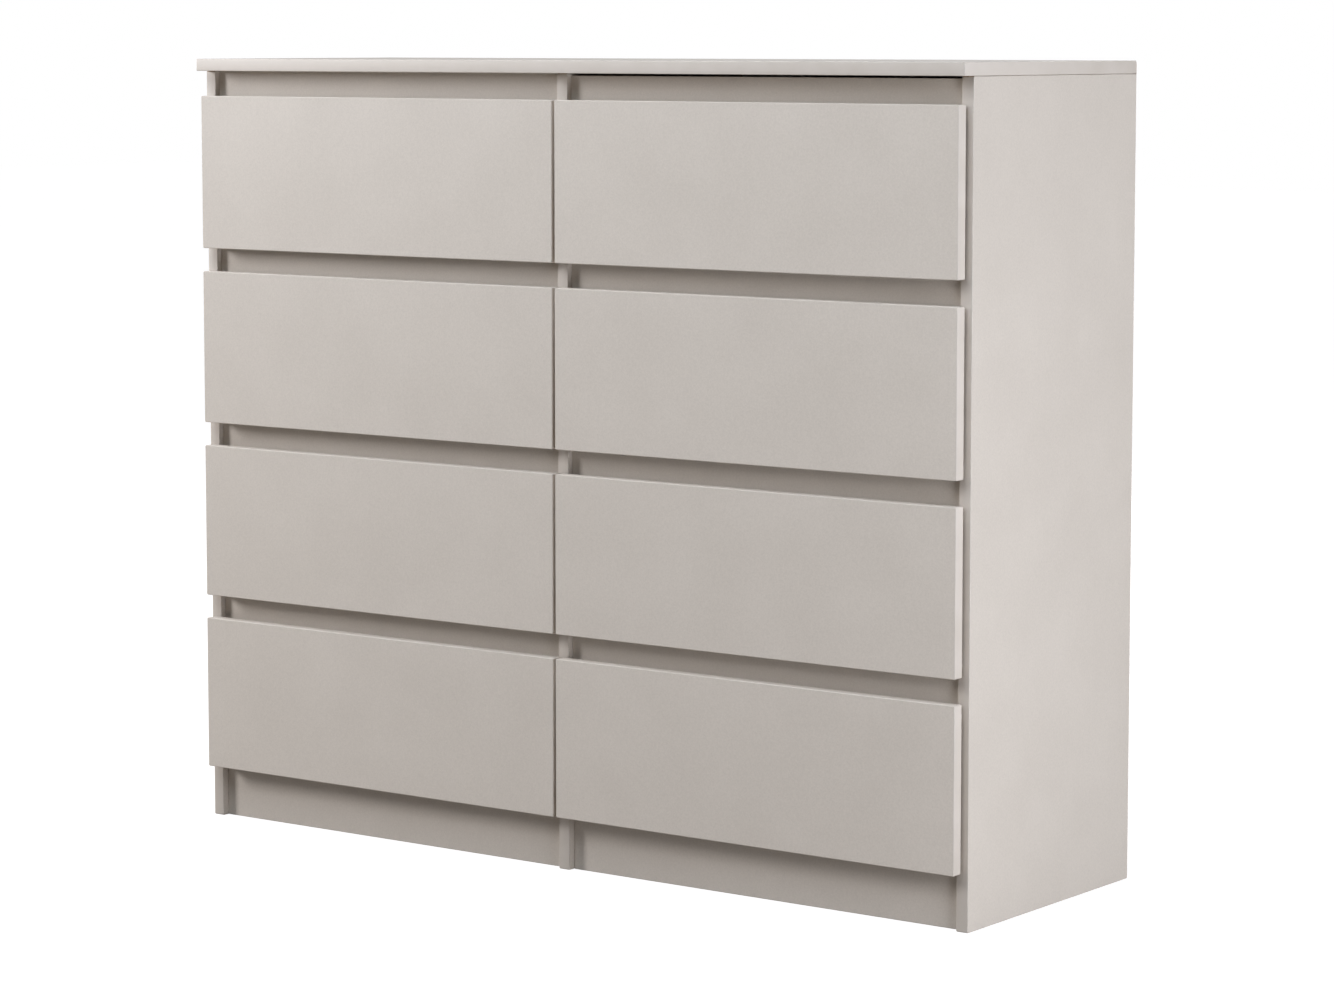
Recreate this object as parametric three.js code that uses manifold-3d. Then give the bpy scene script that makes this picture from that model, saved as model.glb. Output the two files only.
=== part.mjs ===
// A handleless chest of drawers in laminated chipboard: two bays of four drawers behind flat fronts.
// Millimetres, +Z up. The drawers open towards -Y, and the origin is on the floor under the middle.

import * as THREE from 'three';
import { mergeVertices } from 'three/addons/utils/BufferGeometryUtils.js';
import Module from 'manifold-3d';

const wasm = await Module();
wasm.setup();

// The case. Its depth runs from the side panels' front edges to the back, under the top's overhang.
const caseWidth = 1200;
const caseDepth = 380;
const caseHeight = 1020;
const topOverhang = 20;
const boardThickness = 16;
const topThickness = 16;
const hardboardThickness = 3;
const backInset = 2;
const fitGap = 0.25;

// The drawer fronts and the gaps round them, with a finger gap above each front.
const rows = 4;
const frontThickness = 16;
const floorToFronts = 70;
const fingerGap = 31;
const topFingerGap = 33;
const sideReveal = 8;
const centreGap = 4.5;
const frontStandoff = 3.5;

// The boards behind the gaps: a rail behind each finger gap and a plinth under the lowest fronts.
const railRecess = 8;
const railOverlap = 16.5;
const plinthRecess = 10;
const plinthOverlap = 20;
const rightTopRailDrop = 3;

// The drawer boxes: one grooved board folded round three sides, and a hardboard bottom in its groove.
const boxWall = 12;
const runnerSpace = 13;
const frontEdgeToBoxBottom = 28;
const frontEdgeToBoxTop = 34;
const boxToBackPanel = 30;
const bottomLift = 10;
const grooveDepth = 6;

// The case half of each roller runner, a lipped steel channel with the roller's axle at its front end.
const sheetSteel = 1.25;
const channelWidth = 11;
const channelHeight = 32;
const channelLip = 4;
const channelBelowBox = 6;
const runnerSetback = 2;
const axleRadius = 3;
const axleSetback = 16;
const axleHeight = 11.5;

// The pocket in a rail's back for the cam that pulls it to its neighbour, near each end.
const camRadius = 7.5;
const camPocketDepth = 12.5;
const camToEnd = 34;
const roundSegments = 24;

const overallDepth = caseDepth + topOverhang;
const topFrontY = -overallDepth / 2;
const backY = overallDepth / 2;
const caseFrontY = topFrontY + topOverhang;
const boardsBackY = backY - hardboardThickness - fitGap;
const frontBackY = caseFrontY - frontStandoff;
const undersideZ = caseHeight - topThickness;
const bayWidth = (caseWidth - 3 * boardThickness) / 2;
const bayCentreX = (bayWidth + boardThickness) / 2;
const frontWidth = (caseWidth - 2 * sideReveal - centreGap) / 2;
const frontCentreX = (frontWidth + centreGap) / 2;
const frontsAndGaps = undersideZ - topFingerGap - floorToFronts;
const frontHeight = (frontsAndGaps - (rows - 1) * fingerGap) / rows;
const frontPitch = frontHeight + fingerGap;
const plinthHeight = floorToFronts + plinthOverlap;
const boxWidth = bayWidth - 2 * runnerSpace;
const boxHeight = frontHeight - frontEdgeToBoxBottom - frontEdgeToBoxTop;
const boxFrontY = frontBackY + fitGap;
const boxBackY = boardsBackY - boxToBackPanel;
const boxDepth = boxBackY - boxFrontY;

const melamine = new THREE.MeshStandardMaterial({ color: '#cbc3bd', roughness: 0.5, metalness: 0 });
const boxFoil = new THREE.MeshStandardMaterial({ color: '#d9d6d1', roughness: 0.45, metalness: 0 });
const hardboard = new THREE.MeshStandardMaterial({ color: '#dedbd5', roughness: 0.55, metalness: 0 });
const coatedSteel = new THREE.MeshStandardMaterial({ color: '#e4e3df', roughness: 0.35, metalness: 0 });

const bays = [
  { side: 'left', sign: -1, topRailDrop: 0 },
  { side: 'right', sign: 1, topRailDrop: rightTopRailDrop },
];

// A box between two corners.
function block(low, high) {
  const size = high.map((value, axis) => value - low[axis]);
  const centre = high.map((value, axis) => (value + low[axis]) / 2);
  const geometry = new THREE.BoxGeometry(...size);
  geometry.translate(...centre);
  return geometry;
}

// A closed geometry as a manifold solid, with its shared vertices merged.
function toSolid(geometry) {
  const bare = geometry.clone();
  bare.deleteAttribute('normal');
  bare.deleteAttribute('uv');
  const welded = mergeVertices(bare);
  const vertProperties = new Float32Array(welded.attributes.position.array);
  const triVerts = new Uint32Array(welded.index.array);
  return new wasm.Manifold(new wasm.Mesh({ numProp: 3, vertProperties, triVerts }));
}

function toGeometry(solid) {
  const { vertProperties, triVerts } = solid.getMesh();
  const geometry = new THREE.BufferGeometry();
  geometry.setAttribute('position', new THREE.BufferAttribute(vertProperties, 3));
  geometry.setIndex(new THREE.BufferAttribute(triVerts, 1));
  geometry.computeVertexNormals();
  return geometry;
}

function cut(geometry, ...cutters) {
  const solid = cutters.reduce((rest, cutter) => rest.subtract(toSolid(cutter)), toSolid(geometry));
  return toGeometry(solid);
}

function named(name, geometry, material) {
  const mesh = new THREE.Mesh(geometry, material);
  mesh.name = name;
  return mesh;
}

// A plain board, made round its own middle and placed there.
function panel(name, low, high, material = melamine) {
  const size = high.map((value, axis) => value - low[axis]);
  const mesh = named(name, new THREE.BoxGeometry(...size), material);
  mesh.position.set(...high.map((value, axis) => (value + low[axis]) / 2));
  return mesh;
}

// The x limits of a bay between its two upright boards, lowest first.
function bayLimits(bay) {
  const middle = bay.sign * bayCentreX;
  return [middle - bayWidth / 2, middle + bayWidth / 2];
}

function topPanel() {
  const half = caseWidth / 2;
  return panel('top_panel', [-half, topFrontY, undersideZ], [half, boardsBackY, caseHeight]);
}

// A side panel or the partition, standing on the floor under the top.
function upright(name, middleX) {
  const half = boardThickness / 2;
  const low = [middleX - half, caseFrontY, 0];
  const high = [middleX + half, boardsBackY, undersideZ - fitGap];
  return panel(name, low, high);
}

// Each bay has its own hardboard back, which meets the other behind the partition.
function backPanel(bay) {
  const near = fitGap * bay.sign;
  const far = (caseWidth / 2 - backInset) * bay.sign;
  const low = [Math.min(near, far), backY - hardboardThickness, backInset];
  const high = [Math.max(near, far), backY, caseHeight - backInset];
  return panel(`back_panel_${bay.side}`, low, high, hardboard);
}

function plinth(bay) {
  const [left, right] = bayLimits(bay);
  const frontY = caseFrontY + plinthRecess;
  const low = [left + fitGap, frontY, 0];
  const high = [right - fitGap, frontY + boardThickness, plinthHeight];
  return panel(`plinth_${bay.side}`, low, high);
}

// The bottom panel lies behind the plinth, level with its top edge.
function bottomPanel(bay) {
  const [left, right] = bayLimits(bay);
  const frontY = caseFrontY + plinthRecess + boardThickness + fitGap;
  const low = [left + fitGap, frontY, plinthHeight - boardThickness];
  const high = [right - fitGap, boardsBackY, plinthHeight];
  return panel(`bottom_panel_${bay.side}`, low, high);
}

// The lowest edge of a row's fronts. Row 1 is the highest.
function frontEdgeZ(row) {
  return floorToFronts + (rows - row) * frontPitch;
}

// A round pocket sunk from a board's back face, with its axis along Y.
function camPocket(x, faceY, z) {
  const geometry = new THREE.CylinderGeometry(camRadius, camRadius, 2 * camPocketDepth, roundSegments);
  geometry.translate(x, faceY, z);
  return geometry;
}

// The rail behind the finger gap above a row, with a cam pocket in its back at each end.
function rail(bay, row) {
  const width = bayWidth - 2 * fitGap;
  const bottomZ = frontEdgeZ(row) + frontHeight - railOverlap;
  const topZ = row === 1 ? undersideZ - fitGap - bay.topRailDrop : bottomZ + fingerGap + 2 * railOverlap;
  const height = topZ - bottomZ;
  const body = new THREE.BoxGeometry(width, boardThickness, height);
  const camX = width / 2 - camToEnd;
  const pockets = [-camX, camX].map((x) => camPocket(x, boardThickness / 2, 0));
  const mesh = named(`rail_${bay.side}_${row}`, cut(body, ...pockets), melamine);
  const middleY = caseFrontY + railRecess + boardThickness / 2;
  mesh.position.set(bay.sign * bayCentreX, middleY, (bottomZ + topZ) / 2);
  return mesh;
}

// The channel's section, open towards +X, with its web on x = 0 and its lowest edge on y = 0.
function channelSection() {
  const shape = new THREE.Shape();
  shape.moveTo(0, 0);
  shape.lineTo(channelWidth, 0);
  shape.lineTo(channelWidth, channelLip);
  shape.lineTo(channelWidth - sheetSteel, channelLip);
  shape.lineTo(channelWidth - sheetSteel, sheetSteel);
  shape.lineTo(sheetSteel, sheetSteel);
  shape.lineTo(sheetSteel, channelHeight - sheetSteel);
  shape.lineTo(channelWidth - sheetSteel, channelHeight - sheetSteel);
  shape.lineTo(channelWidth - sheetSteel, channelHeight - channelLip);
  shape.lineTo(channelWidth, channelHeight - channelLip);
  shape.lineTo(channelWidth, channelHeight);
  shape.lineTo(0, channelHeight);
  shape.closePath();
  return shape;
}

// The channel runs back along +Y from y = 0, with the axle across it at axleY.
function runnerChannel(length, axleY) {
  const channel = new THREE.ExtrudeGeometry(channelSection(), { depth: length, bevelEnabled: false });
  channel.rotateX(Math.PI / 2);
  channel.translate(0, length, 0);
  const axleLength = channelWidth - sheetSteel / 2;
  const axle = new THREE.CylinderGeometry(axleRadius, axleRadius, axleLength, roundSegments);
  axle.rotateZ(Math.PI / 2);
  axle.translate(channelWidth - axleLength / 2, axleY, axleHeight);
  return toGeometry(toSolid(channel).add(toSolid(axle)));
}

// One runner on one upright of a bay: wall is -1 on the bay's left upright and 1 on its right one,
// where the channel is turned half round and its axle lies at the other end.
function runner(bay, row, wall) {
  const middle = bay.sign * bayCentreX;
  const wallX = middle + wall * (bayWidth / 2 - fitGap);
  const place = wall === bay.sign ? 'outer' : 'inner';
  const axleY = wall < 0 ? axleSetback : boxDepth - axleSetback;
  const mesh = named(`runner_${bay.side}_${row}_${place}`, runnerChannel(boxDepth, axleY), coatedSteel);
  const bottomZ = frontEdgeZ(row) + frontEdgeToBoxBottom - channelBelowBox;
  const frontY = caseFrontY + runnerSetback;
  if (wall < 0) {
    mesh.position.set(wallX, frontY, bottomZ);
  } else {
    mesh.rotation.set(0, 0, Math.PI);
    mesh.position.set(wallX, frontY + boxDepth, bottomZ);
  }
  return mesh;
}

// Where the hardboard bottom lies in a drawer, whose own origin is the front's back face at its
// lowest edge. The bottom reaches into grooves in the front, both sides and the back.
function bottomLimits(gap) {
  const halfWidth = boxWidth / 2 - boxWall + grooveDepth - fitGap + gap;
  const frontY = -grooveDepth + fitGap - gap;
  const rearY = boxDepth + fitGap - boxWall + grooveDepth - fitGap + gap;
  const lowZ = frontEdgeToBoxBottom + bottomLift - gap;
  const highZ = frontEdgeToBoxBottom + bottomLift + hardboardThickness + gap;
  return [[-halfWidth, frontY, lowZ], [halfWidth, rearY, highZ]];
}

function drawerFront(name, offsetX) {
  const low = [-frontWidth / 2 + offsetX, -frontThickness, 0];
  const high = [frontWidth / 2 + offsetX, 0, frontHeight];
  const groove = block(...bottomLimits(fitGap));
  return named(name, cut(block(low, high), groove), melamine);
}

// The folded board: a U seen from above, open to the front, with a groove round its inside.
function drawerBox(name) {
  const outer = boxWidth / 2;
  const inner = outer - boxWall;
  const rearY = fitGap + boxDepth;
  const outline = new THREE.Shape();
  outline.moveTo(-outer, fitGap);
  outline.lineTo(-inner, fitGap);
  outline.lineTo(-inner, rearY - boxWall);
  outline.lineTo(inner, rearY - boxWall);
  outline.lineTo(inner, fitGap);
  outline.lineTo(outer, fitGap);
  outline.lineTo(outer, rearY);
  outline.lineTo(-outer, rearY);
  outline.closePath();
  const folded = new THREE.ExtrudeGeometry(outline, { depth: boxHeight, bevelEnabled: false });
  folded.translate(0, 0, frontEdgeToBoxBottom);
  const groove = block(...bottomLimits(fitGap));
  return named(name, cut(folded, groove), boxFoil);
}

// One drawer, placed by its front's lowest edge. Its front is centred on the reveal and the gap
// beside it, and its box on the bay.
function drawer(bay, row) {
  const group = new THREE.Group();
  const offsetX = bay.sign * (frontCentreX - bayCentreX);
  group.add(drawerFront(`front_${bay.side}_${row}`, offsetX));
  group.add(drawerBox(`drawer_box_${bay.side}_${row}`));
  group.add(panel(`drawer_bottom_${bay.side}_${row}`, ...bottomLimits(0), hardboard));
  group.position.set(bay.sign * bayCentreX, frontBackY, frontEdgeZ(row));
  return group;
}

const group = new THREE.Group();
group.add(topPanel());
group.add(upright('centre_partition', 0));
for (const bay of bays) {
  group.add(upright(`side_panel_${bay.side}`, bay.sign * (caseWidth - boardThickness) / 2));
  group.add(backPanel(bay));
  group.add(plinth(bay));
  group.add(bottomPanel(bay));
  for (let row = 1; row <= rows; row += 1) {
    group.add(rail(bay, row));
    group.add(runner(bay, row, -1));
    group.add(runner(bay, row, 1));
    group.add(drawer(bay, row));
  }
}

export default group;
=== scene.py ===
import math

import bmesh
import bpy
import numpy as np
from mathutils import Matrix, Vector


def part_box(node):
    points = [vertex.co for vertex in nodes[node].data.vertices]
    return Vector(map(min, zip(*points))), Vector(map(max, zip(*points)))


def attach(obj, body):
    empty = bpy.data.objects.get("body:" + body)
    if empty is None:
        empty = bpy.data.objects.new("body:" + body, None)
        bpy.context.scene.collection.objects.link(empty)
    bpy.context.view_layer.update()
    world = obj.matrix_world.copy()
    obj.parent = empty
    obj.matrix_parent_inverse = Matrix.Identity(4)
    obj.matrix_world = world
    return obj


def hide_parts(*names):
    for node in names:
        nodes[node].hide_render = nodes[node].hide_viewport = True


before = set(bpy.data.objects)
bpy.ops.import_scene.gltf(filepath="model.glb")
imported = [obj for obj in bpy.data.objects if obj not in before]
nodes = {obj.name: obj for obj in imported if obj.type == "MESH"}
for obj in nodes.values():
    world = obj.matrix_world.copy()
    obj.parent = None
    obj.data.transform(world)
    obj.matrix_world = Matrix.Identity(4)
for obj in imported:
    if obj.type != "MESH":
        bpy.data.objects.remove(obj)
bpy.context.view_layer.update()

mm = 0.001
bays = ("left", "right")
drawers = [(bay, row) for bay in bays for row in (1, 2, 3, 4)]  # row 1 is the highest
print("frame loaded:", len(nodes), "nodes")


def linear(hexColour):
    # sRGB to linear: a division below 0.04045, and a shifted power of 2.4 above it
    parts = np.array([int(hexColour[k:k + 2], 16) for k in (1, 3, 5)]) / 255
    curve = np.where(parts <= 0.04045, parts / 12.92, ((parts + 0.055) / 1.055) ** 2.4)
    return (*curve.tolist(), 1.0)


def addNode(tree, kind, inputs=None, links=None, feeds=None, stops=None, **settings):
    # links bring other nodes' outputs in, feeds take this node's outputs on, stops are a ramp's colours
    made = tree.nodes.new(kind)
    for key, value in settings.items():
        setattr(made, key, value)
    for (place, colour), stop in zip(stops or [], made.color_ramp.elements if stops else []):
        stop.position, stop.color = place, linear(colour)
    for socket, value in (inputs or {}).items():
        made.inputs[socket].default_value = value
    for socket, source in (links or {}).items():
        tree.links.new(source, made.inputs[socket])
    for output, target in (feeds or {}).items():
        tree.links.new(made.outputs[output], target)
    return made


camera = dict(place=(2.9832, -4.0137, 1.0479), turn=36.354, downward=5.602, lens=105.2, sensor=36, lift=-0.06,
              farthest=100)


def setCamera():
    data = bpy.data.cameras.new("camera")
    data.lens, data.sensor_width = camera["lens"], camera["sensor"]
    data.shift_y = camera["lift"]  # sets the dresser level with the frame's middle
    data.clip_end = camera["farthest"]
    eye = bpy.data.objects.new("camera", data)
    eye.location = camera["place"]
    eye.rotation_euler = (math.radians(90 - camera["downward"]), 0, math.radians(camera["turn"]))
    bpy.context.scene.collection.objects.link(eye)
    bpy.context.scene.camera = eye


# each softbox stands so many metres away, turned so many degrees from straight ahead, and faces the dresser at
# the aim's height
lamps = dict(
    key=dict(away=4.5, turn=-60, height=1.85, size=(1.0, 1.2), power=146, white="#f8f9ff"),
    forward=dict(away=2.0, turn=0, height=3.3, size=(2.0, 2.0), power=60, white="#e6f1ff"),
    top=dict(away=1.0, turn=0, height=4.0, size=(2.5, 2.5), power=72, white="#ebf2ff"),
    kicker=dict(away=2.0, turn=68, height=0.42, size=(0.6, 0.8), power=11.5, white="#ecf2ff"),
    right=dict(away=4.5, turn=90, height=1.0, size=(1.0, 1.2), power=48, white="#e8f1ff"),
    rightRear=dict(away=4.5, turn=110, height=1.5, size=(1.0, 1.2), power=70, white="#f1f5ff"),
    back=dict(away=4.5, turn=-170, height=1.8, size=(1.4, 1.4), power=110, white="#eef5ff"),
    leftRear=dict(away=4.5, turn=-102, height=1.1, size=(1.0, 1.2), power=50, white="#f4f8ff"),
)
aim = 0.5
room = dict(white="#ffffff", glow=0.01)


def setLamps():
    for name, lamp in lamps.items():
        data = bpy.data.lights.new(name, "AREA")
        data.shape = "RECTANGLE"
        data.size, data.size_y = lamp["size"]
        data.energy, data.color = lamp["power"], linear(lamp["white"])[:3]
        turn, fall = math.radians(lamp["turn"]), lamp["height"] - aim
        light = bpy.data.objects.new(name, data)
        light.location = (lamp["away"] * math.sin(turn), -lamp["away"] * math.cos(turn), lamp["height"])
        # an area lamp shines along its own -Z, so it is tipped up from straight down and turned inwards
        light.rotation_euler = (math.atan2(lamp["away"], fall), 0, turn)
        bpy.context.scene.collection.objects.link(light)


def setRoom():
    # the walls are white to the eye and give the dresser only a trace of even glow
    world = bpy.data.worlds.new("room")
    world.use_nodes = True
    tree = world.node_tree
    wall = tree.nodes["Background"]
    wall.inputs["Color"].default_value = linear(room["white"])
    seen = addNode(tree, "ShaderNodeLightPath").outputs["Is Camera Ray"]
    addNode(tree, "ShaderNodeMapRange", inputs={"To Min": room["glow"], "To Max": 1.0}, links={"Value": seen},
            feeds={"Result": wall.inputs["Strength"]})
    bpy.context.scene.world = world
    bpy.context.scene.view_settings.view_transform = "Standard"


setCamera()
setLamps()
setRoom()
print("camera, lamps and room set")


def newFinish(name, colour, **sockets):
    material = bpy.data.materials.new(name)
    material.use_nodes = True
    tree = material.node_tree
    shader = tree.nodes["Principled BSDF"]
    shader.inputs["Base Color"].default_value = linear(colour)
    for socket, value in sockets.items():
        shader.inputs[socket].default_value = value
    place = addNode(tree, "ShaderNodeTexCoord").outputs["Object"]
    return material, tree, shader.inputs, place


def melamineBoard():
    # greige melamine paper pressed on chipboard with a pearl plate: matt, with a fine pebble that breaks
    # up the light, and faint clouds in the print. The pebble is 0.4 mm and is drawn coarser, to show
    pebble, cloud = 2.2 * mm, 90 * mm
    material, tree, shader, place = newFinish("greige_melamine", "#cec3b5", Roughness=0.5, IOR=1.5)
    grain = addNode(tree, "ShaderNodeTexNoise", inputs={"Scale": 1 / pebble, "Detail": 3.0, "Roughness": 0.6},
                    links={"Vector": place}).outputs["Fac"]
    clouds = addNode(tree, "ShaderNodeTexNoise", inputs={"Scale": 1 / cloud, "Detail": 3.0},
                     links={"Vector": place}).outputs["Fac"]
    tone = addNode(tree, "ShaderNodeMix", inputs={"Factor": 0.7}, links={"A": clouds, "B": grain}).outputs["Result"]
    addNode(tree, "ShaderNodeValToRGB", stops=[(0.34, "#c9beb0"), (0.66, "#d3c8ba")], links={"Fac": tone},
            feeds={"Color": shader["Base Color"]})
    addNode(tree, "ShaderNodeMapRange", inputs={"From Min": 0.3, "From Max": 0.7, "To Min": 0.46, "To Max": 0.56},
            links={"Value": grain}, feeds={"Result": shader["Roughness"]})
    addNode(tree, "ShaderNodeBump", inputs={"Strength": 0.6, "Distance": 0.04 * mm}, links={"Height": grain},
            feeds={"Normal": shader["Normal"]})
    return material


def edgeBand():
    # ABS band glued on and scraped flush: a little glossier than the board's face, with soft scraping marks
    # and a fine even grain
    line, mark = 0.7 * mm, 30 * mm
    material, tree, shader, place = newFinish("greige_abs_band", "#cec3b5", Roughness=0.48, IOR=1.53)
    fine = addNode(tree, "ShaderNodeTexNoise", inputs={"Scale": 1 / line, "Detail": 2.0},
                   links={"Vector": place}).outputs["Fac"]
    marks = addNode(tree, "ShaderNodeTexNoise", inputs={"Scale": 1 / mark, "Detail": 4.0},
                    links={"Vector": place}).outputs["Fac"]
    addNode(tree, "ShaderNodeValToRGB", stops=[(0.3, "#cbc0b2"), (0.7, "#d0c5b8")], links={"Fac": marks},
            feeds={"Color": shader["Base Color"]})
    addNode(tree, "ShaderNodeMapRange", inputs={"From Min": 0.3, "From Max": 0.7, "To Min": 0.5, "To Max": 0.6},
            links={"Value": marks}, feeds={"Result": shader["Roughness"]})
    addNode(tree, "ShaderNodeBump", inputs={"Strength": 0.5, "Distance": 0.02 * mm}, links={"Height": fine},
            feeds={"Normal": shader["Normal"]})
    return material


def rawChipboard():
    # sawn edge of three-layer chipboard: pale and dark wood chips of 1 to 4 mm pressed in resin
    chip = 2.2 * mm
    material, tree, shader, place = newFinish("raw_chipboard", "#b8966a", Roughness=0.85, IOR=1.5)
    chips = addNode(tree, "ShaderNodeTexVoronoi", inputs={"Scale": 1 / chip}, links={"Vector": place})
    dust = addNode(tree, "ShaderNodeTexNoise", inputs={"Scale": 4 / chip, "Detail": 4.0}, links={"Vector": place})
    grey = addNode(tree, "ShaderNodeRGBToBW", links={"Color": chips.outputs["Color"]}).outputs["Val"]
    mixed = addNode(tree, "ShaderNodeMix", inputs={"Factor": 0.45},
                    links={"A": grey, "B": dust.outputs["Fac"]}).outputs["Result"]
    addNode(tree, "ShaderNodeValToRGB", stops=[(0.25, "#8a6740"), (0.75, "#d9bd92")], links={"Fac": mixed},
            feeds={"Color": shader["Base Color"]})
    addNode(tree, "ShaderNodeBump", inputs={"Strength": 0.8, "Distance": 0.3 * mm}, links={"Height": mixed},
            feeds={"Normal": shader["Normal"]})
    return material


def drawerFoil():
    # paper foil with a linen print on the folded drawer board: pale warm grey, with threads 0.6 mm apart
    # that are drawn at twice that, to show
    thread = 1.2 * mm
    material, tree, shader, place = newFinish("linen_foil", "#d8d5cf", Roughness=0.45, IOR=1.5)
    # a band texture repeats every 2 pi / (20 * scale)
    band = 2 * math.pi / (20 * thread)
    along = addNode(tree, "ShaderNodeTexWave", bands_direction="DIAGONAL",
                    inputs={"Scale": band * 0.8, "Distortion": 2.0, "Detail": 2.0, "Detail Scale": 1.0},
                    links={"Vector": place}).outputs["Fac"]
    up = addNode(tree, "ShaderNodeTexWave", bands_direction="Z",
                 inputs={"Scale": band, "Distortion": 2.0, "Detail": 2.0, "Detail Scale": 1.0},
                 links={"Vector": place}).outputs["Fac"]
    weave = addNode(tree, "ShaderNodeMath", operation="ADD", links={0: along, 1: up}).outputs["Value"]
    half = addNode(tree, "ShaderNodeMath", operation="MULTIPLY", inputs={1: 0.5}, links={0: weave}).outputs["Value"]
    addNode(tree, "ShaderNodeValToRGB", stops=[(0.2, "#cdc9c2"), (0.8, "#dedbd6")], links={"Fac": half},
            feeds={"Color": shader["Base Color"]})
    addNode(tree, "ShaderNodeBump", inputs={"Strength": 0.5, "Distance": 0.05 * mm}, links={"Height": half},
            feeds={"Normal": shader["Normal"]})
    return material


def lacqueredHardboard():
    # white roller lacquer on hardboard: smooth, half gloss, with a slight ripple along the roller's run
    ripple = 9 * mm
    material, tree, shader, place = newFinish("white_lacquered_hardboard", "#e3e1dc", Roughness=0.35, IOR=1.5)
    drawn = addNode(tree, "ShaderNodeMapping", inputs={"Scale": (1.0, 0.12, 1.0)}, links={"Vector": place})
    waves = addNode(tree, "ShaderNodeTexNoise", inputs={"Scale": 1 / ripple, "Detail": 2.0},
                    links={"Vector": drawn.outputs["Vector"]}).outputs["Fac"]
    addNode(tree, "ShaderNodeValToRGB", stops=[(0.3, "#dedcd6"), (0.7, "#e8e6e2")], links={"Fac": waves},
            feeds={"Color": shader["Base Color"]})
    addNode(tree, "ShaderNodeMapRange", inputs={"From Min": 0.3, "From Max": 0.7, "To Min": 0.3, "To Max": 0.42},
            links={"Value": waves}, feeds={"Result": shader["Roughness"]})
    addNode(tree, "ShaderNodeBump", inputs={"Strength": 0.4, "Distance": 0.05 * mm}, links={"Height": waves},
            feeds={"Normal": shader["Normal"]})
    return material


def rawHardboard():
    # the unpainted side of hardboard: pressed brown wood fibre with short pale and dark strands
    strand, patch = 3 * mm, 70 * mm
    material, tree, shader, place = newFinish("raw_hardboard", "#8c6a48", Roughness=0.62, IOR=1.5)
    felt = addNode(tree, "ShaderNodeTexNoise", inputs={"Scale": 1 / strand, "Detail": 6.0, "Roughness": 0.7,
                                                       "Distortion": 1.2}, links={"Vector": place}).outputs["Fac"]
    patches = addNode(tree, "ShaderNodeTexNoise", inputs={"Scale": 1 / patch, "Detail": 3.0},
                      links={"Vector": place}).outputs["Fac"]
    mixed = addNode(tree, "ShaderNodeMix", inputs={"Factor": 0.4}, links={"A": felt, "B": patches}).outputs["Result"]
    addNode(tree, "ShaderNodeValToRGB", stops=[(0.32, "#79593c"), (0.68, "#a07c58")], links={"Fac": mixed},
            feeds={"Color": shader["Base Color"]})
    addNode(tree, "ShaderNodeMapRange", inputs={"From Min": 0.3, "From Max": 0.7, "To Min": 0.52, "To Max": 0.72},
            links={"Value": felt}, feeds={"Result": shader["Roughness"]})
    addNode(tree, "ShaderNodeBump", inputs={"Strength": 0.6, "Distance": 0.08 * mm}, links={"Height": felt},
            feeds={"Normal": shader["Normal"]})
    return material


def powderCoat():
    # white epoxy powder baked on sheet steel: half gloss with a soft orange peel
    peel = 1.8 * mm
    material, tree, shader, place = newFinish("white_powder_coat", "#e2e1dc", Roughness=0.32, IOR=1.5)
    skin = addNode(tree, "ShaderNodeTexNoise", inputs={"Scale": 1 / peel, "Detail": 1.0},
                   links={"Vector": place}).outputs["Fac"]
    addNode(tree, "ShaderNodeValToRGB", stops=[(0.3, "#dcdad5"), (0.7, "#e6e5e1")], links={"Fac": skin},
            feeds={"Color": shader["Base Color"]})
    addNode(tree, "ShaderNodeBump", inputs={"Strength": 0.5, "Distance": 0.04 * mm}, links={"Height": skin},
            feeds={"Normal": shader["Normal"]})
    return material


def zincPlate():
    # bright zinc on steel and die-castings: cool grey metal with a cloudy, slightly rough skin
    cloud = 3 * mm
    material, tree, shader, place = newFinish("zinc_plate", "#b9bcc0", Roughness=0.35, Metallic=1.0)
    skin = addNode(tree, "ShaderNodeTexNoise", inputs={"Scale": 1 / cloud, "Detail": 4.0},
                   links={"Vector": place}).outputs["Fac"]
    addNode(tree, "ShaderNodeValToRGB", stops=[(0.3, "#a6a9ad"), (0.7, "#c8cacd")], links={"Fac": skin},
            feeds={"Color": shader["Base Color"]})
    addNode(tree, "ShaderNodeMapRange", inputs={"From Min": 0.3, "From Max": 0.7, "To Min": 0.28, "To Max": 0.48},
            links={"Value": skin}, feeds={"Result": shader["Roughness"]})
    return material


def mouldedNylon():
    # white nylon as it comes from the mould: waxy, with a fine even sparkle
    sparkle = 0.8 * mm
    material, tree, shader, place = newFinish("white_nylon", "#e4e2da", Roughness=0.38, IOR=1.53)
    skin = addNode(tree, "ShaderNodeTexNoise", inputs={"Scale": 1 / sparkle, "Detail": 2.0},
                   links={"Vector": place}).outputs["Fac"]
    addNode(tree, "ShaderNodeMapRange", inputs={"From Min": 0.3, "From Max": 0.7, "To Min": 0.32, "To Max": 0.46},
            links={"Value": skin}, feeds={"Result": shader["Roughness"]})
    addNode(tree, "ShaderNodeBump", inputs={"Strength": 0.4, "Distance": 0.02 * mm}, links={"Height": skin},
            feeds={"Normal": shader["Normal"]})
    return material


def castBuffer():
    # clear-cast polyurethane drop: milky and smooth, a touch yellower where it is thick
    haze = 2 * mm
    material, tree, shader, place = newFinish("milky_polyurethane", "#dfddd6", Roughness=0.22, IOR=1.5)
    milk = addNode(tree, "ShaderNodeTexNoise", inputs={"Scale": 1 / haze}, links={"Vector": place}).outputs["Fac"]
    addNode(tree, "ShaderNodeValToRGB", stops=[(0.3, "#d6d3c8"), (0.7, "#e6e4de")], links={"Fac": milk},
            feeds={"Color": shader["Base Color"]})
    return material


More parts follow.
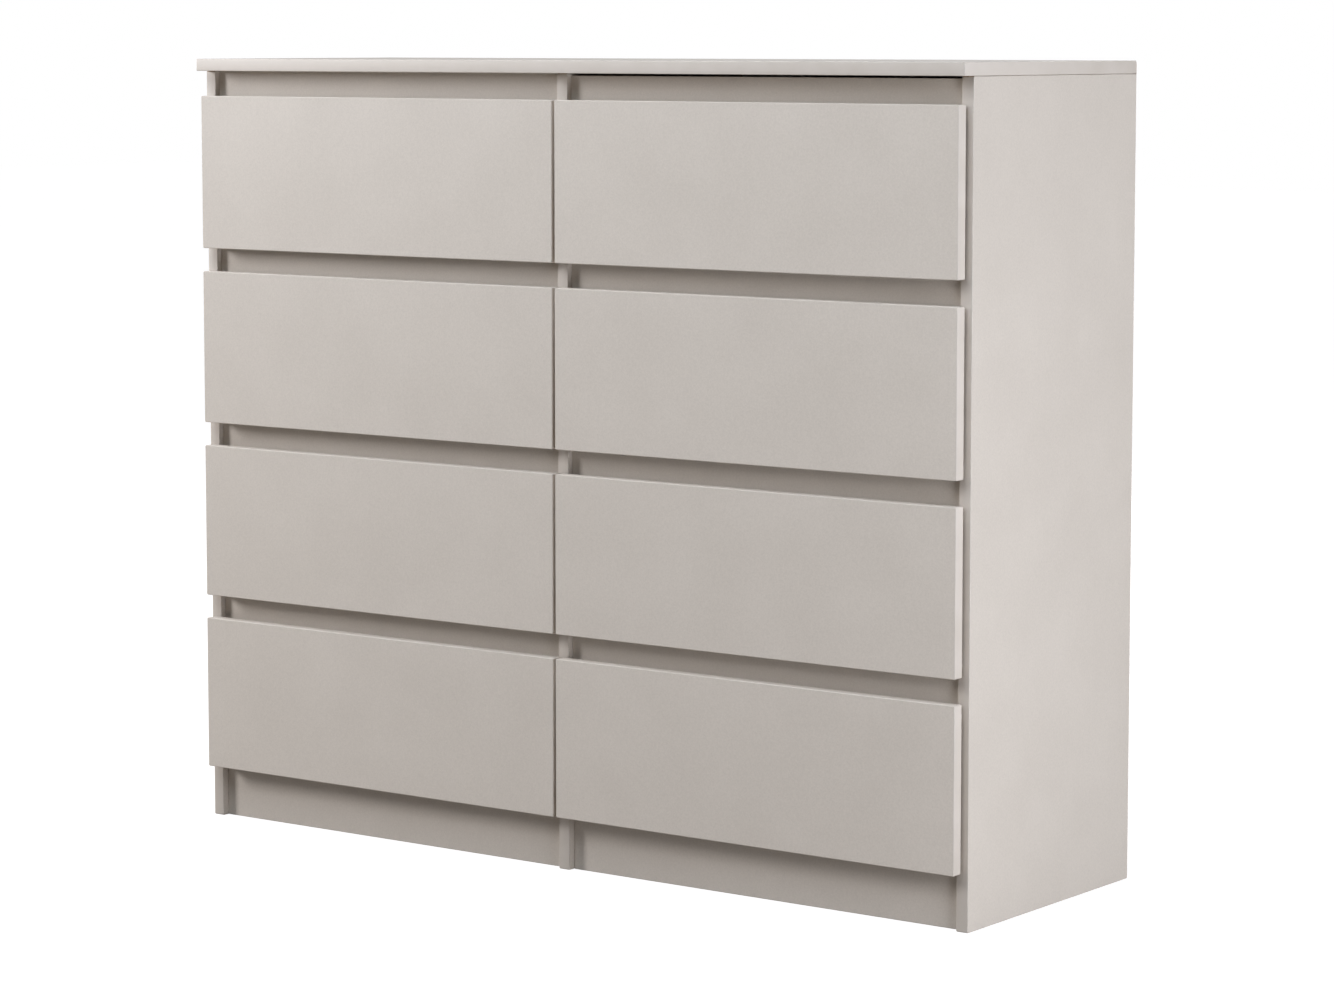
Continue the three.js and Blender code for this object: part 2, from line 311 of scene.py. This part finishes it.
melamine, band, chipboard = melamineBoard(), edgeBand(), rawChipboard()
foil, lacquer, fibre = drawerFoil(), lacqueredHardboard(), rawHardboard()
powder, zinc, plastic, buffer = powderCoat(), zincPlate(), mouldedNylon(), castBuffer()
print("finishes mixed")


piece = dict(mergeWithin=0.002 * mm, sharpFrom=38)  # edges that turn by more degrees than this stay crisp


def makePiece(name, body, shapes, materials, replaced=None):
    # each shape is (points, faces, one material number a face, one smooth flag a face)
    points, faces, finish, smooth, start = [], [], [], [], 0
    for shapePoints, shapeFaces, shapeFinish, shapeSmooth in shapes:
        points.append(shapePoints)
        faces += [[start + corner for corner in face] for face in shapeFaces]
        finish += list(shapeFinish)
        smooth += list(shapeSmooth)
        start += len(shapePoints)
    mesh = bpy.data.meshes.new(name)
    mesh.from_pydata(np.concatenate(points).tolist(), [], faces)
    for material in materials:
        mesh.materials.append(material)
    mesh.polygons.foreach_set("material_index", np.array(finish, np.int32))
    mesh.polygons.foreach_set("use_smooth", np.array(smooth, bool))
    shell = bmesh.new()
    shell.from_mesh(mesh)
    bmesh.ops.remove_doubles(shell, verts=shell.verts, dist=piece["mergeWithin"])
    bmesh.ops.recalc_face_normals(shell, faces=shell.faces)
    shell.to_mesh(mesh)
    shell.free()
    mesh.set_sharp_from_angle(angle=math.radians(piece["sharpFrom"]))
    made = bpy.data.objects.new(name, mesh)
    bpy.context.scene.collection.objects.link(made)
    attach(made, body)
    if replaced:
        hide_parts(replaced)


def gridFaces(rings, around):
    # quads between each closed ring of points and the next one
    ring, step = np.meshgrid(np.arange(rings - 1), np.arange(around), indexing="ij")
    here, there = ring * around + step, ring * around + (step + 1) % around
    return np.stack([here, there, there + around, here + around], axis=-1).reshape(-1, 4)


boardEdge = dict(corner=1.6 * mm, rounding=0.8 * mm, band=1.0 * mm, seam=0.12 * mm, seamDepth=0.06 * mm,
                 arcSteps=4, cornerSteps=3)
sheetEdge = dict(corner=0.8 * mm, rounding=0.3 * mm, band=0, seam=0, seamDepth=0, arcSteps=2, cornerSteps=2)
sideNames = {(0, 1): "+x", (0, -1): "-x", (1, 1): "+y", (1, -1): "-y", (2, 1): "+z", (2, -1): "-z"}


def edgeLevels(edge, thickness):
    # pairs of (height above the low face, inset from the outline): a hairline groove where face meets band,
    # a quarter circle of the rounding's radius, and the same again from the other face
    turn = np.linspace(0, math.pi / 2, edge["arcSteps"] + 1)
    lower = edge["rounding"] * np.stack([1 - np.cos(turn), 1 - np.sin(turn)], axis=1)
    if edge["band"]:
        seam, wide = edge["seam"], edge["band"]
        lower = np.concatenate([[[0, wide + seam], [edge["seamDepth"], wide + seam / 2], [0, wide]], lower])
    upper = lower[::-1].copy()
    upper[:, 0] = thickness - upper[:, 0]
    return np.concatenate([lower, upper])


def boardShape(low, high, axis, edge, raw=(), faces=(0, 0), pocket=None):
    # a stack of rounded rectangles across the thickness: each outline point is its corner's centre plus
    # (corner radius - the level's inset) times its direction
    low, high = np.array(low), np.array(high)
    first, second = (axis + 1) % 3, (axis + 2) % 3
    steps, corner = edge["cornerSteps"], edge["corner"]
    turn = np.radians(np.concatenate([np.linspace(start, start + 90, steps + 1) for start in (180, 270, 0, 90)]))
    ways = np.stack([np.cos(turn), np.sin(turn)], axis=1)
    lowMiddle = np.array([low[first], low[second]]) + corner
    highMiddle = np.array([high[first], high[second]]) - corner
    middles = lowMiddle + np.repeat([[0, 0], [1, 0], [1, 1], [0, 1]], steps + 1, axis=0) * (highMiddle - lowMiddle)
    levels = edgeLevels(edge, high[axis] - low[axis])
    outline = middles[None] + (corner - levels[:, 1])[:, None, None] * ways[None]
    count, around = len(levels), len(turn)
    points = np.zeros((count, around, 3))
    points[..., first], points[..., second] = outline[..., 0], outline[..., 1]
    points[..., axis] = (low[axis] + levels[:, 0])[:, None]
    # each strip of the edge takes the finish of the side that it faces: 1 is the band and 2 the raw board
    facing = ways + np.roll(ways, -1, axis=0)
    sides = [sideNames[(first, int(np.sign(a)))] if abs(a) >= abs(b) else sideNames[(second, int(np.sign(b)))]
             for a, b in facing]
    isLong = np.arange(around) % (steps + 1) == steps
    isStraight = np.arange(count - 1) == count // 2 - 1
    isRaw = np.array([side in raw for side in sides])
    finish = (1 + (isStraight[:, None] & isRaw[None])).ravel().tolist()
    smooth = (~(isStraight[:, None] & isLong[None])).ravel().tolist()
    everyFace, extra = gridFaces(count, around).tolist(), []
    for end, offset in ((0, 0), (1, (count - 1) * around)):
        rim = list(range(offset, offset + around))
        if pocket and pocket["end"] == end:
            hole, holeFaces, holeFinish = pocketShape(pocket, axis, rim, steps, count * around)
            extra.append(hole)
            everyFace += holeFaces
            finish += holeFinish
            smooth += [False] * len(holeFaces)
        else:
            everyFace.append(rim)
            finish.append(faces[end])
            smooth.append(False)
    return np.concatenate([points.reshape(-1, 3), *extra]), everyFace, finish, smooth


def pocketShape(pocket, axis, rim, steps, start):
    # a slot cut in a face: four face strips between the board's rim and the slot's mouth, then the slot's
    # walls and floor. The mouth's four points come first and the floor's after them
    first, second = (axis + 1) % 3, (axis + 2) % 3
    low, high = pocket["low"], pocket["high"]
    points = np.zeros((8, 3))
    points[:, first] = [low[0], high[0], high[0], low[0]] * 2
    points[:, second] = [low[1], low[1], high[1], high[1]] * 2
    points[:4, axis], points[4:, axis] = pocket["face"], pocket["floor"]
    around, middle = len(rim), (steps + 1) // 2
    strips, walls = [], []
    for side in range(4):
        here, there = start + side, start + (side + 1) % 4
        span = range(side * (steps + 1) + middle, (side + 1) * (steps + 1) + middle + 1)
        strips.append([rim[k % around] for k in span] + [there, here])
        walls.append([here, there, there + 4, here + 4])
    return points, strips + walls + [[start + 4, start + 5, start + 6, start + 7]], [0] * 4 + [2] * 5


def caseBoards():
    # banded on every side that shows, and sawn where the back panel or another board covers it
    across = dict(top_panel=(2, ("+y",)), centre_partition=(0, ("+y", "+z", "-z")))
    for bay in bays:
        across["side_panel_" + bay] = (0, ("+y", "+z", "-z"))
        across["plinth_" + bay] = (1, ("+x", "-x", "+z"))
        across["bottom_panel_" + bay] = (2, ("+x", "-x", "+y"))
    for node, (axis, raw) in across.items():
        shape = boardShape(*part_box(node), axis, boardEdge, raw)
        makePiece(node + "_board", "case", [shape], [melamine, band, chipboard], node)


def drawerFronts():
    # the slot in a front's back takes the drawer bottom's front edge
    slack = 0.25 * mm
    for bay, row in drawers:
        node = f"front_{bay}_{row}"
        low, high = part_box(node)
        bottomLow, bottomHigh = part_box(f"drawer_bottom_{bay}_{row}")
        pocket = dict(end=1, face=high[1], floor=bottomLow[1] - slack,
                      low=(bottomLow[2] - slack, bottomLow[0] - slack),
                      high=(bottomHigh[2] + slack, bottomHigh[0] + slack))
        shape = boardShape(low, high, 1, boardEdge, pocket=pocket)
        makePiece(node + "_board", f"drawer_{bay}_{row}", [shape], [melamine, band, chipboard], node)


def railFinish():
    for bay, row in drawers:
        for place in nodes[f"rail_{bay}_{row}"].material_slots:
            place.material = melamine


caseBoards()
drawerFronts()
railFinish()
print("boards cut and banded")


def hardboardSheets():
    # the lacquered face looks into the drawer or the case, and the fibre face away from it
    for bay in bays:
        node = "back_panel_" + bay
        shape = boardShape(*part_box(node), 1, sheetEdge, faces=(0, 1))
        makePiece(node + "_sheet", "case", [shape], [lacquer, fibre], node)
    for bay, row in drawers:
        node = f"drawer_bottom_{bay}_{row}"
        shape = boardShape(*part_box(node), 2, sheetEdge, faces=(1, 0))
        makePiece(node + "_sheet", f"drawer_{bay}_{row}", [shape], [lacquer, fibre], node)


hardboardSheets()
print("hardboard cut")


foldedBoard = dict(wall=12 * mm, topRound=1.4 * mm, bottomRound=0.5 * mm, fold=0.9 * mm, foldSteps=4,
                   groove=6 * mm, slack=0.25 * mm)


def quarterArc(middle, radius, start, steps=4):
    turn = np.radians(np.linspace(start, start + 90, steps + 1))
    return np.array(middle) + radius * np.stack([np.cos(turn), np.sin(turn)], axis=1)


def foldedProfile(height, grooveLow, grooveHigh):
    # the board's section as (depth from the outer face, height), with round corners and the groove inside
    wall, top, bottom = foldedBoard["wall"], foldedBoard["topRound"], foldedBoard["bottomRound"]
    floor = wall - foldedBoard["groove"]
    return np.concatenate([
        quarterArc((bottom, bottom), bottom, 180),
        quarterArc((wall - bottom, bottom), bottom, 270),
        [[wall, grooveLow], [floor, grooveLow], [floor, grooveHigh], [wall, grooveHigh]],
        quarterArc((wall - top, height - top), top, 0),
        quarterArc((top, height - top), top, 90)])


def foldedShape(low, high, bottomLow, bottomHigh):
    # the section carried up the left side, across the back and down the right side. At a fold the outer skin
    # turns on an arc of the fold's radius, and what lies deeper than that radius meets on the mitre
    fold, steps = foldedBoard["fold"], foldedBoard["foldSteps"]
    grooveLow = bottomLow[2] - low[2] - foldedBoard["slack"]
    grooveHigh = bottomHigh[2] - low[2] + foldedBoard["slack"]
    depth, height = foldedProfile(high[2] - low[2], grooveLow, grooveHigh).T
    inset, skin = np.maximum(fold, depth), np.maximum(fold - depth, 0)
    turns = np.linspace(0, math.pi / 2, steps + 1)
    front = np.full_like(depth, low[1])
    stations = [(low[0] + depth, front)]
    stations += [(low[0] + inset - skin * math.cos(t), high[1] - inset + skin * math.sin(t)) for t in turns]
    stations += [(high[0] - inset + skin * math.sin(t), high[1] - inset + skin * math.cos(t)) for t in turns]
    stations += [(high[0] - depth, front)]
    points = np.stack([np.stack([x, y, low[2] + height], axis=1) for x, y in stations])
    around, hops = len(depth), len(stations) - 1
    ends = [list(range(around)), list(range(hops * around, (hops + 1) * around))]
    faces = gridFaces(hops + 1, around).tolist() + ends
    # raw board shows in the groove and on the two front ends, and foil on all the rest
    hair = mm / 100
    midDepth, midHeight = (depth + np.roll(depth, -1)) / 2, (height + np.roll(height, -1)) / 2
    inGroove = (midHeight > grooveLow - hair) & (midHeight < grooveHigh + hair) & (midDepth > foldedBoard["groove"] / 2)
    finish = np.tile((inGroove & (midDepth < foldedBoard["wall"] - hair)).astype(int), hops).tolist() + [1, 1]
    # a chord that is neither upright nor level belongs to a round corner
    isRound = np.abs((np.roll(height, -1) - height) * (np.roll(depth, -1) - depth)) > hair ** 2
    isFold = np.isin(np.arange(hops) % (steps + 2), np.arange(1, steps + 1))
    smooth = (isRound[None] | isFold[:, None]).ravel().tolist() + [False, False]
    return points.reshape(-1, 3), faces, finish, smooth


def drawerBoxes():
    for bay, row in drawers:
        node = f"drawer_box_{bay}_{row}"
        shape = foldedShape(*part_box(node), *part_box(f"drawer_bottom_{bay}_{row}"))
        makePiece(node + "_folded", f"drawer_{bay}_{row}", [shape], [foil, chipboard], node)


drawerBoxes()
print("drawer boxes folded")


def crossAxes(way):
    # two unit directions square to way and to each other
    way = np.array(way, float)
    across = np.cross(way, [0, 0, 1] if abs(way[2]) < 0.9 else [1, 0, 0])
    across /= np.linalg.norm(across)
    return way, across, np.cross(way, across)


def turnedShape(profile, middle, way, steps=20, finish=0):
    # a (radius, height) profile spun round the line from middle along way. It starts and ends on that line,
    # where the doubled points are merged
    way, across, third = crossAxes(way)
    turn = np.linspace(0, 2 * math.pi, steps, endpoint=False)[:, None]
    spin = np.cos(turn) * across + np.sin(turn) * third
    radius, height = np.array(profile).T
    points = np.array(middle) + radius[:, None, None] * spin[None] + height[:, None, None] * way
    faces = gridFaces(len(profile), steps).tolist()
    return points.reshape(-1, 3), faces, [finish] * len(faces), [True] * len(faces)


def crossHead(middle, way, radius, height, slot, sunk, reach, steps=24, finish=0):
    # a low head as a height over (radius, angle): a dome that falls away towards the rim, less a cross of the
    # slot's width out to its reach
    way, across, third = crossAxes(way)
    share = np.array([0, 0.14, 0.3, 0.46, 0.62, 0.8, 0.93, 1.0, 1.0, 0])
    turn = np.linspace(0, 2 * math.pi, steps, endpoint=False)
    out, angle = np.meshgrid(share * radius, turn, indexing="ij")
    x, y = out * np.cos(angle), out * np.sin(angle)
    dome = height * (1 - 0.35 * (out / radius) ** 2 - 0.65 * (out / radius) ** 12)
    inCross = ((np.abs(x) < slot / 2) | (np.abs(y) < slot / 2)) & (out < reach)
    top = np.where(inCross, dome - sunk, dome)
    top[-2:] = -0.02 * mm
    points = np.array(middle) + x[..., None] * across + y[..., None] * third + top[..., None] * way
    faces = gridFaces(len(share), steps).tolist()
    return points.reshape(-1, 3), faces, [finish] * len(faces), [True] * len(faces)


def sheetProfile(corners, thickness, bend, steps=4):
    # folded sheet metal in section: the middle line with each corner turned on an arc, moved half the
    # thickness to either side
    corners = np.array(corners, float)
    turns = np.linspace(0, math.pi / 2, steps + 1)
    line = [corners[0]]
    for before, corner, after in zip(corners, corners[1:], corners[2:]):
        back = (before - corner) / np.linalg.norm(before - corner)
        on = (after - corner) / np.linalg.norm(after - corner)
        middle = corner + bend * (back + on)
        line += [middle - bend * (on * math.cos(t) + back * math.sin(t)) for t in turns]
    line = np.array(line + [corners[-1]])
    along = np.gradient(line, axis=0)
    along /= np.linalg.norm(along, axis=1, keepdims=True)
    side = np.stack([-along[:, 1], along[:, 0]], axis=1) * thickness / 2
    return np.concatenate([line + side, (line - side)[::-1]])


def runShape(profile, wallX, into, baseZ, startY, endY, shortChord=0.9 * mm):
    # a section of (distance from the wall, height) carried along Y, closed at both ends. Only its short
    # chords, which are the bends, are shaded round
    count = len(profile)
    points = np.zeros((2, count, 3))
    points[..., 0] = wallX + into * profile[:, 0]
    points[..., 2] = baseZ + profile[:, 1]
    points[0, :, 1], points[1, :, 1] = startY, endY
    faces = gridFaces(2, count).tolist() + [list(range(count)), list(range(count, 2 * count))]
    isBend = np.linalg.norm(np.roll(profile, -1, axis=0) - profile, axis=1) < shortChord
    return points.reshape(-1, 3), faces, [0] * len(faces), isBend.tolist() + [False, False]


runner = dict(steel=1.25 * mm, bend=1.4 * mm, lip=4 * mm, foot=10 * mm, flangeReach=9.8 * mm, wheelWidth=6.6 * mm,
              caseWheel=9.75 * mm, caseWheelBack=16 * mm, caseWheelHeight=11.5 * mm, drawerWheel=9.4 * mm,
              drawerWheelBack=14 * mm, wheelOff=2.6 * mm, clear=0.2 * mm, rivet=2.4 * mm, rivetSunk=0.6 * mm,
              railRivetSunk=0.8 * mm, screwBacks=(62 * mm, 190 * mm, 318 * mm),
              railScrewBacks=(32 * mm, 224 * mm), railScrewHeight=10 * mm)
caseScrew = dict(radius=3.4 * mm, height=0.8 * mm, slot=1.0 * mm, sunk=0.5 * mm, reach=1.9 * mm)
railScrew = dict(radius=3.2 * mm, height=0.5 * mm, slot=1.0 * mm, sunk=0.4 * mm, reach=1.8 * mm)


def wheelProfile(radius, width):
    # a hub, a dished web and a rounded tread, from one face to the other
    half, tread = width / 2, 0.8 * mm
    side = [(0, half), (0.28 * radius, half), (0.3 * radius, half - 0.4 * mm), (0.42 * radius, half - 1.2 * mm),
            (0.72 * radius, half - 1.2 * mm), (0.8 * radius, half - 0.2 * mm), (radius - tread, half),
            (radius - 0.25 * tread, half - 0.3 * tread), (radius, half - tread)]
    return side + [(out, -up) for out, up in side[::-1]]


def rivetProfile(radius, length):
    # a shank with a low round head at its far end
    head = 1.5 * radius
    return [(0, 0), (radius, 0), (radius, length), (head, length), (head, length + 0.25 * mm),
            (0.7 * head, length + 0.65 * mm), (0, length + 0.8 * mm)]


def caseRunner(node, into):
    # a lipped channel on the upright, screwed through its web, with a nylon wheel at its front end
    low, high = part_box(node)
    wallX, deep, tall = (low[0] if into > 0 else high[0]), high[0] - low[0], high[2] - low[2]
    steel, half, lip = runner["steel"], runner["steel"] / 2, runner["lip"]
    section = sheetProfile([(deep - half, tall - lip), (deep - half, tall - half), (half, tall - half),
                            (half, half), (deep - half, half), (deep - half, lip)], steel, runner["bend"])
    channel = runShape(section, wallX, into, low[2], low[1], high[1])
    axle = (wallX + into * half, low[1] + runner["caseWheelBack"], low[2] + runner["caseWheelHeight"])
    width = runner["wheelWidth"]
    shank = runner["wheelOff"] + width - half - runner["rivetSunk"]
    rivet = turnedShape(rivetProfile(runner["rivet"], shank), axle, (into, 0, 0), finish=1)
    heads = [crossHead((wallX + into * steel, low[1] + back, low[2] + tall / 2), (into, 0, 0), finish=1, **caseScrew)
             for back in runner["screwBacks"]]
    makePiece(node + "_channel", "case", [channel, rivet, *heads], [powder, zinc], node)
    hub = (wallX + into * (runner["wheelOff"] + width / 2), axle[1], axle[2])
    wheel = turnedShape(wheelProfile(runner["caseWheel"], width), hub, (into, 0, 0), steps=28)
    makePiece(node + "_wheel", "case", [wheel], [plastic])
    return wallX, low[2], axle[2] + runner["caseWheel"]


def drawerRunner(name, body, box, into, wallX, channelZ, wheelTop):
    # an angle rail under and beside the box, its flange over the case's wheel, with a wheel at its rear end
    low, high = box
    steel, half, width = runner["steel"], runner["steel"] / 2, runner["wheelWidth"]
    sideX = low[0] if into > 0 else high[0]
    flangeZ = wheelTop + runner["clear"] + half - low[2]
    section = sheetProfile([(-runner["foot"], -half), (half, -half), (half, flangeZ), (runner["flangeReach"], flangeZ)],
                           steel, runner["bend"])
    rail = runShape(section, sideX, -into, low[2], low[1] + mm, high[1])
    wheelZ = channelZ + steel + runner["clear"] + runner["drawerWheel"]
    axle = (sideX - into * half, high[1] - runner["drawerWheelBack"], wheelZ)
    hubX = wallX + into * (runner["wheelOff"] + width / 2)
    shank = abs(axle[0] - hubX) + width / 2 - runner["railRivetSunk"]
    rivet = turnedShape(rivetProfile(runner["rivet"], shank), axle, (-into, 0, 0), finish=1)
    heads = [crossHead((sideX - into * steel, low[1] + back, low[2] + runner["railScrewHeight"]), (-into, 0, 0),
                       finish=1, **railScrew) for back in runner["railScrewBacks"]]
    makePiece(name + "_rail", body, [rail, rivet, *heads], [powder, zinc])
    wheel = turnedShape(wheelProfile(runner["drawerWheel"], width), (hubX, axle[1], wheelZ), (into, 0, 0), steps=28)
    makePiece(name + "_wheel", body, [wheel], [plastic])


def hangRunners():
    for bay, row in drawers:
        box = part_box(f"drawer_box_{bay}_{row}")
        middle = (box[0][0] + box[1][0]) / 2
        for place in ("outer", "inner"):
            node = f"runner_{bay}_{row}_{place}"
            into = 1 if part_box(node)[0][0] < middle else -1
            name, body = f"drawer_runner_{bay}_{row}_{place}", f"drawer_{bay}_{row}"
            drawerRunner(name, body, box, into, *caseRunner(node, into))


hangRunners()
print("runners hung")


cam = dict(radius=7.2 * mm, toEnd=34 * mm, below=0.9 * mm, depth=11 * mm, crown=0.6 * mm, slot=1.6 * mm,
           sunk=0.5 * mm, reach=4.2 * mm)


def camPieces():
    # a die-cast cam in each pocket of a rail, turned with a cross-head driver: a slotted face, a waist and a foot
    for bay, row in drawers:
        low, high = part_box(f"rail_{bay}_{row}")
        shapes, radius = [], cam["radius"]
        waist = [(0, 0), (radius, 0), (radius, -2 * mm), (0.8 * radius, -2.5 * mm),
                 (0.8 * radius, 2 * mm - cam["depth"]), (0, 1 * mm - cam["depth"])]
        for x in (low[0] + cam["toEnd"], high[0] - cam["toEnd"]):
            face = (x, high[1] - cam["below"], (low[2] + high[2]) / 2)
            shapes.append(crossHead(face, (0, 1, 0), radius, cam["crown"], cam["slot"], cam["sunk"], cam["reach"]))
            shapes.append(turnedShape(waist, (x, face[1] - 0.1 * mm, face[2]), (0, 1, 0), steps=24))
        makePiece(f"cams_{bay}_{row}", "case", shapes, [zinc])


cap = dict(radius=8.5 * mm, back=34 * mm, heights=(48 * mm, 104 * mm))


def coverCaps():
    # push-in caps on the inner faces of a drawer's sides, over the fittings that hold its front
    radius = cap["radius"]
    dome = [(0, 0.9 * mm), (0.5 * radius, 0.86 * mm), (0.85 * radius, 0.62 * mm), (radius, 0.25 * mm),
            (radius, 0.02 * mm), (0, 0.02 * mm)]
    for bay, row in drawers:
        low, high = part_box(f"drawer_box_{bay}_{row}")
        wall = foldedBoard["wall"]
        shapes = [turnedShape(dome, (x, low[1] + cap["back"], low[2] + height), (way, 0, 0), steps=28)
                  for x, way in ((low[0] + wall, 1), (high[0] - wall, -1)) for height in cap["heights"]]
        makePiece(f"cover_caps_{bay}_{row}", f"drawer_{bay}_{row}", shapes, [plastic])


stud = dict(radius=2.6 * mm, height=3.2 * mm, fromEdge=14 * mm)


def frontBuffers():
    # soft drops on the back of each front, which meet the front edges of the uprights
    radius, tall = stud["radius"], stud["height"]
    drop = [(0, 0), (radius, 0), (radius, 0.5 * tall), (0.9 * radius, 0.8 * tall), (0.6 * radius, 0.95 * tall),
            (0, tall)]
    middleLow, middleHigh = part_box("centre_partition")
    for bay, row in drawers:
        low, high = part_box(f"front_{bay}_{row}")
        sideLow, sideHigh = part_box("side_panel_" + bay)
        spans = [(low[0], sideHigh[0]), (middleLow[0], high[0])] if bay == "left" else [
            (low[0], middleHigh[0]), (sideLow[0], high[0])]
        shapes = [turnedShape(drop, ((a + b) / 2, high[1], z), (0, 1, 0), steps=16)
                  for a, b in spans for z in (low[2] + stud["fromEdge"], high[2] - stud["fromEdge"])]
        makePiece(f"buffers_{bay}_{row}", f"drawer_{bay}_{row}", shapes, [buffer])


nail = dict(head=2.8 * mm, proud=0.45 * mm, spacing=112 * mm, fromEdge=6 * mm, fromJoint=3.8 * mm,
            fromFloor=14 * mm)


def backNails():
    # flat-headed nails round each back panel, into the uprights, the top and the bottom panel
    radius, proud = nail["head"], nail["proud"]
    head = [(0, proud), (0.7 * radius, 0.9 * proud), (radius, 0.4 * proud), (radius, -0.1 * mm), (0, -0.1 * mm)]
    for bay in bays:
        low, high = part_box("back_panel_" + bay)
        bottomLow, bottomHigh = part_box("bottom_panel_" + bay)
        left = low[0] + nail["fromEdge" if bay == "left" else "fromJoint"]
        right = high[0] - nail["fromJoint" if bay == "left" else "fromEdge"]
        lowZ, highZ = (bottomLow[2] + bottomHigh[2]) / 2, high[2] - nail["fromEdge"]
        across = np.linspace(left, right, round((right - left) / nail["spacing"]) + 1)
        up = np.linspace(low[2] + nail["fromFloor"], highZ, round((highZ - low[2]) / nail["spacing"]) + 1)
        spots = [(x, z) for x in (left, right) for z in up] + [(x, z) for z in (lowZ, highZ) for x in across[1:-1]]
        shapes = [turnedShape(head, (x, high[1], z), (0, 1, 0), steps=12) for x, z in spots]
        makePiece("back_nails_" + bay, "case", shapes, [zinc])


camPieces()
coverCaps()
frontBuffers()
backNails()
print("fixings placed")


floorSheet = dict(width=40.0, below=0.2 * mm, paper="#86807a", shine="#ffffff", nearLift=0.88, farLift=1.0, near=1.5,
                  far=4.0)


def setFloor():
    # white paper that is lit bright for the eye, more so where the lamps no longer reach, and sends little
    # light back up
    half = floorSheet["width"] / 2
    mesh = bpy.data.meshes.new("floor")
    mesh.from_pydata([(-half, -half, 0), (half, -half, 0), (half, half, 0), (-half, half, 0)], [], [(0, 1, 2, 3)])
    material, tree, shader, place = newFinish("white_paper", floorSheet["paper"], Roughness=0.9)
    shader["Emission Color"].default_value = linear(floorSheet["shine"])
    out = addNode(tree, "ShaderNodeVectorMath", operation="LENGTH", links={0: place}).outputs["Value"]
    span = {"From Min": floorSheet["near"], "From Max": floorSheet["far"],
            "To Min": floorSheet["nearLift"], "To Max": floorSheet["farLift"]}
    lift = addNode(tree, "ShaderNodeMapRange", inputs=span, links={"Value": out}).outputs["Result"]
    seen = addNode(tree, "ShaderNodeLightPath").outputs["Is Camera Ray"]
    addNode(tree, "ShaderNodeMath", operation="MULTIPLY", links={0: seen, 1: lift},
            feeds={"Value": shader["Emission Strength"]})
    mesh.materials.append(material)
    sheet = bpy.data.objects.new("floor", mesh)
    sheet.location = (0, 0, -floorSheet["below"])
    bpy.context.scene.collection.objects.link(sheet)


setFloor()
